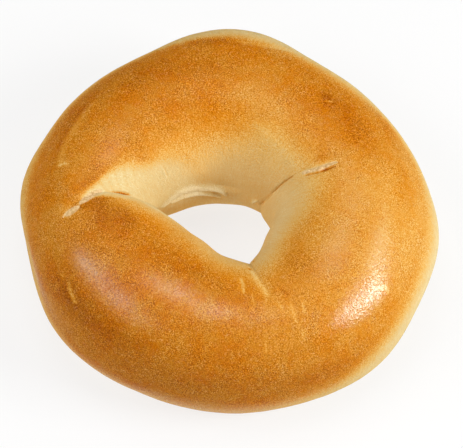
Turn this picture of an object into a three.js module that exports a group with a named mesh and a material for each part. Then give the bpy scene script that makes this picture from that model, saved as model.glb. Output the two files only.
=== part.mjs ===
// A plain baked bagel: one rope of dough bent into a ring, its end lapped over its start.
// Millimetres, +Z up. The origin is on the table, under the middle of the ring.
//
// A place on the crust is given by two angles, in degrees:
//   around  the way round the ring, from +X towards +Y
//   over    the way round the rope: 0 outside, 90 on top, 180 in the hole, 270 underneath

import * as THREE from 'three';
import { ParametricGeometry } from 'three/addons/geometries/ParametricGeometry.js';
import { mergeVertices } from 'three/addons/utils/BufferGeometryUtils.js';

const { degToRad, euclideanModulo, lerp, smoothstep } = THREE.MathUtils;

// Section of the rope
const HEIGHT = 37.8;
const EQUATOR = 15.5; // height of its widest place
const UNDERSIDE = 20; // how far it would hang below the equator if the tray hadn't flattened it
const SQUARENESS = 2.25; // 2 is an ellipse, more is squarer
const HEEL = 3; // softness of the turn into the flat base

// Outlines seen from above: a mean radius, and waves of so many bumps to the turn
const RIM = {
  radius: 54.2,
  waves: [
    { bumps: 1, swing: 2.9, peak: 108 },
    { bumps: 2, swing: 0.9, peak: -42 },
    { bumps: 3, swing: 1.1, peak: -31 },
  ],
};
const HOLE = {
  radius: 11.9,
  waves: [
    { bumps: 1, swing: 2.2, peak: 148 },
    { bumps: 2, swing: 1.5, peak: -48 },
    { bumps: 3, swing: 0.9, peak: 36 },
    { bumps: 4, swing: 0.6, peak: 7 },
  ],
};

// Soft swells and hollows, all of one length and width: ten on the outer side and two in the hole
const SWELL_LENGTH = 15;
const SWELL_WIDTH = 23;
const SWELLS = [
  { around: 42, over: 24, rise: -1.0 },
  { around: 63, over: 28, rise: -1.9 },
  { around: 88, over: 32, rise: 1.0 },
  { around: 118, over: 30, rise: -1.8 },
  { around: 168, over: 8, rise: 1.9 },
  { around: 190, over: 5, rise: -1.7 },
  { around: 241, over: -20, rise: -0.6 },
  { around: 293, over: -24, rise: -0.6 },
  { around: 336, over: -8, rise: -1.1 },
  { around: 357, over: 5, rise: 1.3 },
  { around: 192, over: 170, rise: 1.2 },
  { around: 147, over: 205, rise: 1.4 },
];

// The ledge at the foot of the hole's far wall, where the dough sagged on to the tray
const LEDGE = { around: 116, reach: 35, over: 178, slope: 5, rise: 1.3, foot: 225, footSlope: 30 };

// Creases between the lobes. A route is a list of [over, around]. A crease opens between the angles
// start and full, and closes between fade and end. Its lip is the round shoulder of the lobe that
// laps over, on the side that "side" gives, and its tuck is the slope of the lobe that goes under.
const LEFT_CREASE = {
  route: [[58, 190], [75, 184.5], [95, 179], [118, 177], [140, 173.5], [165, 168.5], [215, 154], [270, 148]],
  depth: 6.9,
  start: 60,
  full: 150,
  fade: 200,
  end: 255,
  lip: 8,
  tuck: 15,
  side: 1,
};
const RIGHT_CREASE = {
  route: [[70, 12.5], [97, 17.5], [126, 24], [149, 30], [179, 46.5], [215, 53], [270, 55]],
  depth: 1.5,
  start: 85,
  full: 165,
  fade: 190,
  end: 265,
  lip: 6.6,
  tuck: 12.6,
  side: -1,
};
const FRONT_CREASE = {
  route: [[65, 293], [90, 287.5], [110, 285.5], [130, 285.5], [180, 288], [270, 288]],
  depth: 2.1,
  start: 65,
  full: 150,
  fade: 215,
  end: 275,
  lip: 9.7,
  tuck: 5.6,
  side: 1,
};
const CREASES = [LEFT_CREASE, RIGHT_CREASE, FRONT_CREASE];

// Net of faces: its lengthwise lines bend to follow the creases and crowd together beside them
const SPANS = [
  { from: RIGHT_CREASE, to: LEFT_CREASE, lines: 46 },
  { from: LEFT_CREASE, to: FRONT_CREASE, lines: 34 },
  { from: FRONT_CREASE, to: RIGHT_CREASE, lines: 32 },
];
const CROWDING = 0.85; // 0 is even spacing, 1 leaves no room beside a crease
const BEND_REACH = 47; // how far round the ring a crease bends the lines
const CREASE_MIDDLE = 120; // the angle over the rope where a line isn't bent
const CRUST_ROWS = 38;
const BASE_ROWS = 2;
const BASE_EDGE = -65; // the base is flat between this angle and its mirror on the hole's side
const MERGE_TOLERANCE = 1e-4;

const CRUST_COLOR = 0xc8873a;

function signedAngle(angle) {
  return euclideanModulo(angle + 180, 360) - 180;
}

function outline({ radius, waves }, around) {
  const swing = (wave) => wave.swing * Math.cos(degToRad(wave.bumps * (around - wave.peak)));
  return waves.reduce((sum, wave) => sum + swing(wave), radius);
}

// The angle around at which a route passes the angle over: a smooth closed curve through its points
function routeAt(route, over) {
  const first = route[0][0];
  const x = first + euclideanModulo(over - first, 360);
  const point = (i) => {
    const turns = Math.floor(i / route.length);
    const [pointOver, pointAround] = route[i - turns * route.length];
    return [pointOver + 360 * turns, pointAround];
  };
  const slope = (i) => {
    const [x0, y0] = point(i - 1);
    const [x1, y1] = point(i + 1);
    return (y1 - y0) / (x1 - x0);
  };
  const index = route.findLastIndex((routePoint) => routePoint[0] <= x);
  const [x0, y0] = point(index);
  const [x1, y1] = point(index + 1);
  const width = x1 - x0;
  const t = (x - x0) / width;
  const ease = t * t * (3 - 2 * t);
  const leave = width * slope(index) * t * (1 - t) ** 2;
  const arrive = width * slope(index + 1) * t * t * (t - 1);
  return lerp(y0, y1, ease) + leave + arrive;
}

// Distance from the rope's axis to the crust, before the creases are pressed in
function smoothCrust(around, over, halfWidth) {
  const cos = Math.cos(degToRad(over));
  const sin = Math.sin(degToRad(over));
  const halfHeight = sin >= 0 ? HEIGHT - EQUATOR : UNDERSIDE;
  const across = Math.abs(cos / halfWidth) ** SQUARENESS;
  const up = Math.abs(sin / halfHeight) ** SQUARENESS;
  return (across + up) ** (-1 / SQUARENESS) + swells(around, over) + ledge(around, over);
}

function swells(around, over) {
  const rise = (swell) => {
    const along = signedAngle(around - swell.around) / SWELL_LENGTH;
    const across = signedAngle(over - swell.over) / SWELL_WIDTH;
    return swell.rise * Math.exp(-(along ** 2 + across ** 2));
  };
  return SWELLS.reduce((sum, swell) => sum + rise(swell), 0);
}

function ledge(around, over) {
  const along = signedAngle(around - LEDGE.around) / LEDGE.reach;
  const edge = smoothstep(over, LEDGE.over - LEDGE.slope / 2, LEDGE.over + LEDGE.slope / 2);
  const foot = 1 - smoothstep(over, LEDGE.foot, LEDGE.foot + LEDGE.footSlope);
  return LEDGE.rise * Math.exp(-(along ** 4)) * edge * foot;
}

function creaseDepth(crease, around, over, radius) {
  const angle = signedAngle(around - routeAt(crease.route, over)) * crease.side;
  const distance = degToRad(angle) * radius;
  const open = smoothstep(over, crease.start, crease.full) * (1 - smoothstep(over, crease.fade, crease.end));
  if (distance >= 0) {
    const inside = 1 - Math.min(distance / crease.lip, 1);
    return crease.depth * open * (1 - Math.sqrt(1 - inside ** 2));
  }
  const inside = 1 - Math.min(-distance / crease.tuck, 1);
  return crease.depth * open * inside ** 2;
}

// The tray stops the underside: heights below zero become zero, with a soft turn between
function restOnTray(height) {
  if (height > HEEL) return height;
  if (height < -HEEL) return 0;
  return (height + HEEL) ** 2 / (4 * HEEL);
}

function crustPoint(around, over, target) {
  const turn = euclideanModulo(over, 360);
  const rim = outline(RIM, around);
  const hole = outline(HOLE, around);
  const axis = (rim + hole) / 2;
  const cos = Math.cos(degToRad(turn));
  const smooth = smoothCrust(around, turn, (rim - hole) / 2);
  const pressed = CREASES.map((crease) => creaseDepth(crease, around, turn, axis + smooth * cos));
  const reach = smooth - pressed.reduce((sum, depth) => sum + depth);
  const radius = axis + reach * cos;
  const height = restOnTray(EQUATOR + reach * Math.sin(degToRad(turn)));
  return target.set(radius * Math.cos(degToRad(around)), radius * Math.sin(degToRad(around)), height);
}

// Where a lengthwise line lies on the ring, before it bends
function lineAround(line) {
  let first = 0;
  for (const span of SPANS) {
    if (line < first + span.lines) {
      const share = (line - first) / span.lines;
      const crowded = share - (CROWDING * Math.sin(2 * Math.PI * share)) / (2 * Math.PI);
      const start = routeAt(span.from.route, CREASE_MIDDLE);
      const length = euclideanModulo(routeAt(span.to.route, CREASE_MIDDLE) - start, 360);
      return start + length * crowded;
    }
    first += span.lines;
  }
  return lineAround(0);
}

function bendToCreases(around, over) {
  let bent = around;
  for (const { route } of CREASES) {
    const middle = routeAt(route, CREASE_MIDDLE);
    const nearness = 1 - Math.abs(signedAngle(around - middle)) / BEND_REACH;
    bent += (routeAt(route, over) - middle) * smoothstep(nearness, 0, 1);
  }
  return bent;
}

// The angle over of a row: even steps over the crust, then a few wide ones under the flat base
function rowOver(row) {
  if (row <= CRUST_ROWS) return lerp(BASE_EDGE, 180 - BASE_EDGE, row / CRUST_ROWS);
  return lerp(180 - BASE_EDGE, 360 + BASE_EDGE, (row - CRUST_ROWS) / BASE_ROWS);
}

function bagelGeometry() {
  const lines = SPANS.reduce((sum, span) => sum + span.lines, 0);
  const rows = CRUST_ROWS + BASE_ROWS;
  const surface = (u, v, target) => {
    const over = euclideanModulo(rowOver((v % 1) * rows), 360);
    crustPoint(bendToCreases(lineAround((u % 1) * lines), over), over, target);
  };
  const net = new ParametricGeometry(surface, lines, rows);
  net.deleteAttribute('normal');
  net.deleteAttribute('uv');
  const geometry = mergeVertices(net, MERGE_TOLERANCE);
  geometry.computeBoundingBox();
  const middle = geometry.boundingBox.getCenter(new THREE.Vector3());
  geometry.translate(-middle.x, -middle.y, 0);
  geometry.computeVertexNormals();
  return geometry;
}

const crust = new THREE.MeshStandardMaterial({ color: CRUST_COLOR, roughness: 0.45, metalness: 0 });
const bagel = new THREE.Mesh(bagelGeometry(), crust);
bagel.name = 'bagel';

const part = new THREE.Group();
part.add(bagel);

export default part;
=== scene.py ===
"""Looks of a plain baked bagel, built over its packed ring.

The crust is one closed skin on a rope of dough that is bent into a ring, its end lapped over its
start. A place on it is given by two angles in degrees, as in the part's source:

    around  the way round the ring, from +X towards +Y
    over    the way round the rope: 0 outside, 90 on top, 180 in the hole, 270 underneath

The dough is worked out in millimetres. Meshes, lights and the camera are in metres.
"""

import logging
import math
from dataclasses import dataclass, field
from enum import Enum
from typing import Any

import bpy
import numpy as np
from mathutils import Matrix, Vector

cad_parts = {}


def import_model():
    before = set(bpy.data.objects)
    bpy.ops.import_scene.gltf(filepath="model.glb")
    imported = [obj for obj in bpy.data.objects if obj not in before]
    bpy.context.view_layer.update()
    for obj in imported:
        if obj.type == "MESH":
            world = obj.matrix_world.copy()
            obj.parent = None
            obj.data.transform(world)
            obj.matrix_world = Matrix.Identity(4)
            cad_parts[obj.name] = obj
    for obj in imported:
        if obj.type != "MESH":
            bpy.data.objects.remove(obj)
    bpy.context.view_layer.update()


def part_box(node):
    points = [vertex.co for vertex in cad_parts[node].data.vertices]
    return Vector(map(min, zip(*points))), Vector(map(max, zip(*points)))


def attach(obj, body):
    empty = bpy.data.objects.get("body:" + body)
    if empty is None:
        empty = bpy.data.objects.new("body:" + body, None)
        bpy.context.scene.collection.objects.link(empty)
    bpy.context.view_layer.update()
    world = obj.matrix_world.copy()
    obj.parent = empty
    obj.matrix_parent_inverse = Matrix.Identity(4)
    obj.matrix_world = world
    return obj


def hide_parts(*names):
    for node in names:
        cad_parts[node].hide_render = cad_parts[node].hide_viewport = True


Colour = tuple[float, float, float, float]  # linear red, green and blue, and alpha
Socket = bpy.types.NodeSocket

log = logging.getLogger("bagel")

MILLIMETRE = 0.001
ROW_SAMPLES = 4000  # places on the section from which the net's rows are picked
BOX_STEP = 0.5  # degrees between the places that give the ring's box


class Tone(Enum):
    """How far a place is baked, from pale dough to the darkest crust."""

    DOUGH = 0.0
    CREAM = 0.1
    STRAW = 0.2
    HONEY = 0.4
    GOLD = 0.55
    AMBER = 0.7
    BROWN = 0.85
    UMBER = 1.0


# Curves and small helpers


def smoothstep(value: np.ndarray, low: float, high: float) -> np.ndarray:
    """Rises smoothly from 0 at low to 1 at high.

    Args:
        value: The values to map.
        low: Where the rise starts.
        high: Where the rise ends.

    Returns:
        The mapped values, from 0 to 1.
    """
    share = np.clip((value - low) / (high - low), 0.0, 1.0)
    return share * share * (3.0 - 2.0 * share)


def signed_angle(angle: np.ndarray) -> np.ndarray:
    """Returns the same angles, in degrees, brought between -180 and 180."""
    return (angle + 180.0) % 360.0 - 180.0


def rope_angle(over: np.ndarray) -> np.ndarray:
    """Returns the same angles over, in degrees, brought between -90 and 270."""
    return signed_angle(over - 90.0) + 90.0


def blend(first: np.ndarray, second: np.ndarray, share: np.ndarray) -> np.ndarray:
    """Returns first where share is 0, second where it is 1, and a mix between."""
    return first + (second - first) * share


def ring_point(around: np.ndarray, radius: np.ndarray | float, height: np.ndarray) -> np.ndarray:
    """Finds places from their angle, radius and height.

    Args:
        around: Angles around in degrees.
        radius: Distances from the middle of the ring.
        height: Heights.

    Returns:
        Their x, y and z, in a last axis.
    """
    x = radius * np.cos(np.radians(around))
    y = radius * np.sin(np.radians(around))
    return np.stack([x, y, height], axis=-1)


@dataclass(frozen=True)
class Rise:
    """A smooth rise from 0 to 1.

    Attributes:
        low: Where it starts.
        high: Where it ends.
    """

    low: float
    high: float

    def at(self, value: np.ndarray) -> np.ndarray:
        """Returns how far the rise has come at each value."""
        return smoothstep(value, self.low, self.high)


@dataclass(frozen=True)
class Noise:
    """Cloudy noise of one size.

    Attributes:
        size: Size of its features in metres.
        detail: Finer layers added.
        roughness: Strength of the finer layers.
        distortion: How far it is stirred.
    """

    size: float
    detail: float = 2.0
    roughness: float = 0.5
    distortion: float = 0.0


@dataclass(frozen=True)
class TurnCurve:
    """A smooth closed curve that gives a value for each angle of a full turn.

    Attributes:
        points: Pairs of an angle in degrees and the value there, in rising order.
    """

    points: tuple[tuple[float, float], ...]

    def at(self, angle: np.ndarray) -> np.ndarray:
        """Evaluates the curve.

        Args:
            angle: Angles in degrees, of any turn.

        Returns:
            The curve's values there.
        """
        given = np.array(self.points, float)
        knots = np.concatenate([given[-1:, 0] - 360.0, given[:, 0], given[:2, 0] + 360.0])
        values = np.concatenate([given[-1:, 1], given[:, 1], given[:2, 1]])
        slopes = (values[2:] - values[:-2]) / (knots[2:] - knots[:-2])
        place = given[0, 0] + (angle - given[0, 0]) % 360.0
        index = np.searchsorted(knots[1:-1], place, side="right") - 1
        index = np.clip(index, 0, len(given) - 1)
        width = knots[index + 2] - knots[index + 1]
        share = (place - knots[index + 1]) / width
        eased = share * share * (3.0 - 2.0 * share)
        leave = width * slopes[index] * share * (1.0 - share) ** 2
        arrive = width * slopes[index + 1] * share * share * (share - 1.0)
        start = values[index + 1]
        return start + (values[index + 2] - start) * eased + leave + arrive


# The dough's form


@dataclass(frozen=True)
class Wave:
    """One wave of an outline, with so many bumps to the turn.

    Attributes:
        bumps: Bumps to the turn.
        swing: Height of the wave in millimetres.
        peak: Angle around of one of its crests.
    """

    bumps: int
    swing: float
    peak: float


@dataclass(frozen=True)
class Outline:
    """A closed outline seen from above.

    Attributes:
        radius: Mean radius in millimetres.
        waves: The waves on it.
    """

    radius: float
    waves: tuple[Wave, ...]

    def at(self, around: np.ndarray) -> np.ndarray:
        """Evaluates the outline.

        Args:
            around: Angles around in degrees.

        Returns:
            The radius in millimetres at each.
        """
        radius = np.full_like(around, self.radius)
        for wave in self.waves:
            radius += wave.swing * np.cos(np.radians(wave.bumps * (around - wave.peak)))
        return radius


@dataclass(frozen=True)
class Swell:
    """A soft swell of the dough, or a hollow where its rise is negative.

    Attributes:
        around: Its middle, round the ring.
        over: Its middle, round the rope.
        rise: Its height in millimetres.
        length: Its reach round the ring in degrees.
        width: Its reach round the rope in degrees.
    """

    around: float
    over: float
    rise: float
    length: float = 15.0
    width: float = 23.0

    def at(self, around: np.ndarray, over: np.ndarray) -> np.ndarray:
        """Returns its height in millimetres at each place."""
        along = signed_angle(around - self.around) / self.length
        across = signed_angle(over - self.over) / self.width
        return self.rise * np.exp(-(along**2 + across**2))


@dataclass(frozen=True)
class Ledge:
    """The ledge at the foot of the hole's far wall, where the dough sagged on to the tray.

    Attributes:
        around: Its middle, round the ring.
        reach: Its half length in degrees.
        over: Angle over of its upper edge.
        slope: Degrees that the edge takes to rise.
        rise: Its height in millimetres.
        foot: Angle over where it starts to sink back.
        foot_slope: Degrees that it takes to sink back.
    """

    around: float = 116.0
    reach: float = 35.0
    over: float = 178.0
    slope: float = 5.0
    rise: float = 1.3
    foot: float = 225.0
    foot_slope: float = 30.0

    def at(self, around: np.ndarray, over: np.ndarray) -> np.ndarray:
        """Returns its height in millimetres at each place."""
        along = signed_angle(around - self.around) / self.reach
        edge = smoothstep(over, self.over - self.slope / 2, self.over + self.slope / 2)
        foot = 1.0 - smoothstep(over, self.foot, self.foot + self.foot_slope)
        return self.rise * np.exp(-(along**4)) * edge * foot


@dataclass(frozen=True)
class Crease:
    """A crease between two lobes of dough.

    Attributes:
        route: Its angle around for each angle over.
        depth: Its depth in millimetres.
        start: Angle over where it starts to open.
        full: Angle over where it is open.
        fade: Angle over where it starts to close.
        end: Angle over where it is closed.
        lip: Width of the lobe's round shoulder in millimetres.
        tuck: Width of the slope that goes under, in millimetres.
        side: 1 where the shoulder is on the side of larger angles around, else -1.
    """

    route: TurnCurve
    depth: float
    start: float
    full: float
    fade: float
    end: float
    lip: float
    tuck: float
    side: int

    def open_share(self, over: np.ndarray) -> np.ndarray:
        """Returns how far it is open at each angle over, from 0 to 1."""
        opening = smoothstep(over, self.start, self.full)
        return opening * (1.0 - smoothstep(over, self.fade, self.end))

    def distance(self, around: np.ndarray, over: np.ndarray, radius: np.ndarray) -> np.ndarray:
        """Measures from the crease along the ring.

        Args:
            around: Angles around in degrees.
            over: Angles over in degrees.
            radius: Distances from the middle of the ring in millimetres.

        Returns:
            Millimetres from the crease: positive on its shoulder, negative on its tuck.
        """
        return np.radians(signed_angle(around - self.route.at(over)) * self.side) * radius

    def depth_at(self, around: np.ndarray, over: np.ndarray, radius: np.ndarray) -> np.ndarray:
        """Works out how deep it presses the crust in.

        Args:
            around: Angles around in degrees.
            over: Angles over in degrees.
            radius: Distances from the middle of the ring in millimetres.

        Returns:
            The depth in millimetres at each place.
        """
        distance = self.distance(around, over, radius)
        on_lip = 1.0 - np.clip(distance / self.lip, 0.0, 1.0)
        on_tuck = 1.0 - np.clip(-distance / self.tuck, 0.0, 1.0)
        shoulder = 1.0 - np.sqrt(1.0 - on_lip**2)
        profile = np.where(distance >= 0.0, shoulder, on_tuck**2)
        return self.depth * self.open_share(over) * profile


LEFT_CREASE = Crease(
    route=TurnCurve(
        (
            (58, 190), (75, 184.5), (95, 179), (118, 177),
            (140, 173.5), (165, 168.5), (215, 154), (270, 148),
        )
    ),
    depth=6.9,
    start=60,
    full=150,
    fade=200,
    end=255,
    lip=8,
    tuck=15,
    side=1,
)
RIGHT_CREASE = Crease(
    route=TurnCurve(
        ((70, 12.5), (97, 17.5), (126, 24), (149, 30), (179, 46.5), (215, 53), (270, 55))
    ),
    depth=1.5,
    start=85,
    full=165,
    fade=190,
    end=265,
    lip=6.6,
    tuck=12.6,
    side=-1,
)
FRONT_CREASE = Crease(
    route=TurnCurve(
        ((65, 293), (90, 287.5), (110, 285.5), (130, 285.5), (180, 288), (270, 288))
    ),
    depth=2.1,
    start=65,
    full=150,
    fade=215,
    end=275,
    lip=9.7,
    tuck=5.6,
    side=1,
)

SWELLS = (
    Swell(42, 24, -1.0),
    Swell(63, 28, -1.9),
    Swell(88, 32, 1.0),
    Swell(118, 30, -1.8),
    Swell(168, 8, 1.9),
    Swell(190, 5, -1.7),
    Swell(241, -20, -0.6),
    Swell(293, -24, -0.6),
    Swell(336, -8, -1.1),
    Swell(357, 5, 1.3),
    Swell(192, 170, 1.2),
    Swell(147, 205, 1.4),
)


@dataclass(frozen=True)
class DoughRing:
    """The ring of dough, with the sizes of the part's source, in millimetres.

    Attributes:
        height: Height of the ring.
        equator: Height of the rope's widest place.
        underside: How far it would hang below the equator on no tray.
        squareness: 2 makes the section an ellipse, more makes it squarer.
        heel: Softness of the turn into the flat base.
        rim: Outer outline.
        hole: Inner outline.
        swells: Soft swells and hollows.
        ledge: Ledge in the hole.
        creases: Creases between the lobes.
    """

    height: float = 37.8
    equator: float = 15.5
    underside: float = 20.0
    squareness: float = 2.25
    heel: float = 3.0
    rim: Outline = Outline(54.2, (Wave(1, 2.9, 108), Wave(2, 0.9, -42), Wave(3, 1.1, -31)))
    hole: Outline = Outline(
        11.9, (Wave(1, 2.2, 148), Wave(2, 1.5, -48), Wave(3, 0.9, 36), Wave(4, 0.6, 7))
    )
    swells: tuple[Swell, ...] = SWELLS
    ledge: Ledge = Ledge()
    creases: tuple[Crease, ...] = (LEFT_CREASE, RIGHT_CREASE, FRONT_CREASE)

    def axis(self, around: np.ndarray) -> np.ndarray:
        """Returns the radius of the rope's middle line at each angle around."""
        return (self.rim.at(around) + self.hole.at(around)) / 2.0

    def reach(self, around: np.ndarray, over: np.ndarray) -> np.ndarray:
        """Measures the rope from its middle line to its crust.

        Args:
            around: Angles around in degrees.
            over: Angles over in degrees, from 0 to 360.

        Returns:
            The distances in millimetres.
        """
        half_width = (self.rim.at(around) - self.hole.at(around)) / 2.0
        cos = np.cos(np.radians(over))
        sin = np.sin(np.radians(over))
        half_height = np.where(sin >= 0.0, self.height - self.equator, self.underside)
        across = np.abs(cos / half_width) ** self.squareness
        up = np.abs(sin / half_height) ** self.squareness
        smooth = (across + up) ** (-1.0 / self.squareness) + self.ledge.at(around, over)
        for swell in self.swells:
            smooth = smooth + swell.at(around, over)
        radius = self.axis(around) + smooth * cos
        pressed = [crease.depth_at(around, over, radius) for crease in self.creases]
        return smooth - sum(pressed)

    def rest_on_tray(self, height: np.ndarray) -> np.ndarray:
        """Stops heights at the tray, with a soft turn into the flat base.

        Args:
            height: Heights in millimetres.

        Returns:
            Heights of zero or more.
        """
        turn = (height + self.heel) ** 2 / (4.0 * self.heel)
        return np.where(height > self.heel, height, np.where(height < -self.heel, 0.0, turn))

    def points(
        self, around: np.ndarray, over: np.ndarray, relief: np.ndarray | float = 0.0
    ) -> np.ndarray:
        """Finds places on the crust.

        Args:
            around: Angles around in degrees.
            over: Angles over in degrees.
            relief: Fine relief to add, in millimetres.

        Returns:
            Their x, y and z in millimetres, in a last axis.
        """
        turn = over % 360.0
        reach = self.reach(around, turn) + relief
        radius = self.axis(around) + reach * np.cos(np.radians(turn))
        height = self.rest_on_tray(self.equator + reach * np.sin(np.radians(turn)))
        return ring_point(around, radius, height)


# Small marks and the bake


@dataclass(frozen=True)
class Stroke:
    """A line, nick or ridge in the skin.

    Attributes:
        places: Its course, as around, over and full width in millimetres.
        rise: Its height in millimetres, negative for a groove.
        tone: How much darker it is baked, or painted as shade, negative for paler or for a painted
            highlight.
        tear: How far the crumb shows in it, from 0 to 1.
        crispness: 2 fades it softly at its sides, more gives it firm sides.
    """

    places: tuple[tuple[float, float, float], ...]
    rise: float = 0.0
    tone: float = 0.0
    tear: float = 0.0
    crispness: float = 2.0

    def profile(self, points: np.ndarray, dough: DoughRing, steps: int = 24) -> np.ndarray:
        """Works out how strongly it marks each point of the crust.

        Args:
            points: Points in millimetres, one to a row.
            dough: The ring that carries the stroke.
            steps: Samples between two of its places.

        Returns:
            Strengths from 0 to 1.
        """
        course = np.array(self.places, float)
        knots = np.arange(len(course))
        fine = np.linspace(0.0, len(course) - 1.0, steps * max(len(course) - 1, 1) + 1)
        around, over, width = (np.interp(fine, knots, course[:, i]) for i in range(3))
        samples = dough.points(around, over)
        margin = 2.0 * width.max()
        low = samples.min(axis=0) - margin
        high = samples.max(axis=0) + margin
        inside = np.all((points > low) & (points < high), axis=1)
        nearest = np.full(int(inside.sum()), np.inf)
        for sample, sample_width in zip(samples, width):
            gap = np.linalg.norm(points[inside] - sample, axis=1) / (sample_width / 2.0)
            nearest = np.minimum(nearest, gap)
        strength = np.zeros(len(points))
        strength[inside] = np.exp(-(nearest**self.crispness))
        return strength


STROKES = (
    # torn band that runs up the left crease, in two lengths, and the nick behind it, darkened as
    # painted shade in the crease
    Stroke(
        ((188.6, 66, 1.2), (188.2, 69, 2.4), (187.4, 73, 2.3), (186.7, 75.6, 1.3)),
        rise=-0.15,
        tone=-0.12,
        tear=0.75,
        crispness=2.5,
    ),
    Stroke(
        ((185, 78, 1.4), (183.2, 82, 2.8), (181, 87, 3.0), (179, 92, 2.2)),
        rise=-0.15,
        tone=-0.2,
        tear=0.7,
        crispness=2.5,
    ),
    Stroke(((187.6, 75.5, 1.0), (186, 80, 1.4), (184.4, 85, 1.0)), -0.05, 0.1),
    Stroke(
        ((178.4, 100, 0.3), (176.9, 107, 0.5), (175.9, 114, 0.5), (175.2, 118, 0.3)),
        rise=-0.6,
        tone=0.85,
    ),
    # fine wrinkles that fan out from the end of the left crease
    Stroke(((178.6, 99, 0.5), (176, 94, 0.6), (173.4, 90, 0.4)), -0.16, 0.12),
    Stroke(((177, 103, 0.5), (173.6, 99, 0.6), (170.4, 96, 0.4)), -0.16, 0.12),
    Stroke(((174.6, 108, 0.5), (171, 104, 0.6), (167, 101, 0.4)), -0.14, 0.1),
    Stroke(((172, 114, 0.5), (168, 110, 0.6), (163.6, 107, 0.4)), -0.14, 0.1),
    Stroke(((168, 119, 0.5), (164, 116, 0.6), (160, 114, 0.4)), -0.12, 0.08),
    # torn band by the right crease, with a dark edge and a pit in it
    Stroke(
        ((17.6, 99, 1.0), (17.6, 104, 1.7), (17.8, 111, 1.9), (19.4, 117, 1.6), (21, 123, 1.0)),
        rise=-0.15,
        tone=-0.2,
        tear=0.65,
        crispness=2.5,
    ),
    Stroke(((15.4, 101, 0.5), (15.2, 107, 0.7), (16, 114, 0.7), (18, 121, 0.5)), -0.4, 0.3),
    Stroke(((16.3, 107.5, 0.9), (16.6, 109, 0.8)), -0.5, 0.5),
    # the bottom of the right crease: a groove darkened as painted shade
    Stroke(
        ((25, 131, 0.5), (29, 144, 0.6), (34, 158, 0.7), (42, 172, 0.8), (50, 184, 0.8)),
        rise=-0.5,
        tone=0.12,
    ),
    # pale line and flecks up the front crease
    Stroke(
        ((282, 116, 0.7), (283.4, 108, 1.3), (284.6, 100, 2.0), (285.6, 94, 2.4), (286.2, 90, 1.4)),
        rise=-0.06,
        tone=-0.2,
    ),
    Stroke(((286.6, 90, 4.0), (289.6, 82, 4.4), (291.5, 75, 3.0)), 0.0, -0.05),
    Stroke(((293.3, 90, 0.9), (294.8, 86, 0.9)), -0.05, 0.1),
    Stroke(((275.2, 105, 0.7), (275.6, 100, 1.0), (275.6, 94, 0.7)), -0.08, -0.24),
    Stroke(((279.6, 92, 0.4), (279.3, 86, 0.6)), -0.06, -0.18),
    Stroke(((289.6, 83, 0.5), (290.2, 77, 0.6)), -0.06, -0.15),
    Stroke(((294, 79, 0.6), (293.8, 73, 1.1), (293.4, 67, 0.6)), -0.06, -0.16),
    Stroke(((298.5, 76, 0.5), (297.6, 70, 0.7)), -0.08, -0.18),
    Stroke(((281.2, 59, 0.4), (281, 53, 0.6)), -0.06, -0.2),
    Stroke(((294.2, 60, 0.4), (294, 54, 0.6)), -0.06, -0.2),
    # the ledge's two raised lips, made paler as a painted highlight, and a groove under each,
    # darkened as painted shade
    Stroke(
        (
            (157, 181, 1.0), (150, 175.5, 1.8), (142, 173, 2.6), (133, 174.5, 2.8),
            (123, 176.5, 2.8), (113, 177.5, 2.4), (104, 179, 1.8), (98, 183, 0.9),
        ),
        rise=0.9,
        tone=-0.3,
    ),
    Stroke(
        ((150, 181, 0.8), (142, 179, 1.4), (130, 180, 1.8), (118, 183.5, 1.6), (105, 187, 0.8)),
        rise=0.7,
        tone=-0.26,
    ),
    Stroke(((141, 176.4, 0.5), (131, 177.4, 0.8), (118, 180.2, 0.9), (107, 183, 0.6)), -0.4, 0.12),
    Stroke(((146, 184, 0.6), (132, 185, 1.0), (118, 188.5, 1.0), (104, 192, 0.6)), -0.3, 0.06),
    # pale swell above the right crease, and a fleck on the far wall
    Stroke(
        ((74, 121.5, 2.0), (65, 123.5, 4.0), (50, 124.5, 4.4), (38, 125, 3.6), (31, 126, 1.6)),
        rise=0.15,
        tone=-0.07,
    ),
    Stroke(((149.4, 132.5, 0.7), (149.6, 138, 1.0), (150.2, 143.5, 0.6)), 0.12, -0.05),
    Stroke(((148.4, 135, 0.4), (148.8, 142, 0.5)), -0.2, 0.14),
    # small ridge where the right crease meets the hole's foot, made paler as a painted highlight on
    # its edge
    Stroke(((62, 186, 0.6), (58, 181, 1.2), (54, 179, 0.7)), 0.4, -0.2),
    # wrinkles along the outer left
    Stroke(((143, 65.5, 1.4), (152, 64.2, 2.6), (160, 62.6, 2.6), (169, 62.2, 1.4)), 0.12, -0.12),
    Stroke(((145, 60.5, 1.4), (153, 58.2, 2.4), (162, 57.5, 1.4)), -0.08, 0.05),
    Stroke(((168.6, 69, 0.5), (168.2, 66, 0.9), (169, 63.6, 0.5)), -0.15, -0.35, 0.3),
    # lower edge of the crown at the back, above a pale bulge
    Stroke(
        ((69, 49, 0.8), (73, 54.5, 1.4), (79, 58.8, 1.5), (86, 60.4, 1.2), (91, 59.6, 0.8)),
        rise=-0.22,
        tone=-0.08,
    ),
    # scratches on the left, the fold at the highlight's edge, and pits
    Stroke(((210.2, 45.5, 0.6), (213, 42.3, 1.2), (216, 40.3, 0.6)), -0.05, -0.42),
    Stroke(((205.6, 47, 0.4), (207.2, 45, 0.6)), -0.06, -0.3),
    # the fold is made paler as a painted highlight: the white notch at the edge of the glossy
    # highlight
    Stroke(((324.6, 52.5, 0.6), (326.8, 49, 0.9), (325.8, 45.5, 0.6)), 0.2, -0.25),
    Stroke(((45.4, 75, 0.4), (47.2, 78.4, 0.6)), -0.12, -0.4, 0.4),
    Stroke(((281.6, 118, 0.8), (282, 117, 0.7)), -0.4, 0.35),
    Stroke(((288.6, 132, 0.9), (288.4, 134, 0.7)), -0.4, 0.3),
)


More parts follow.
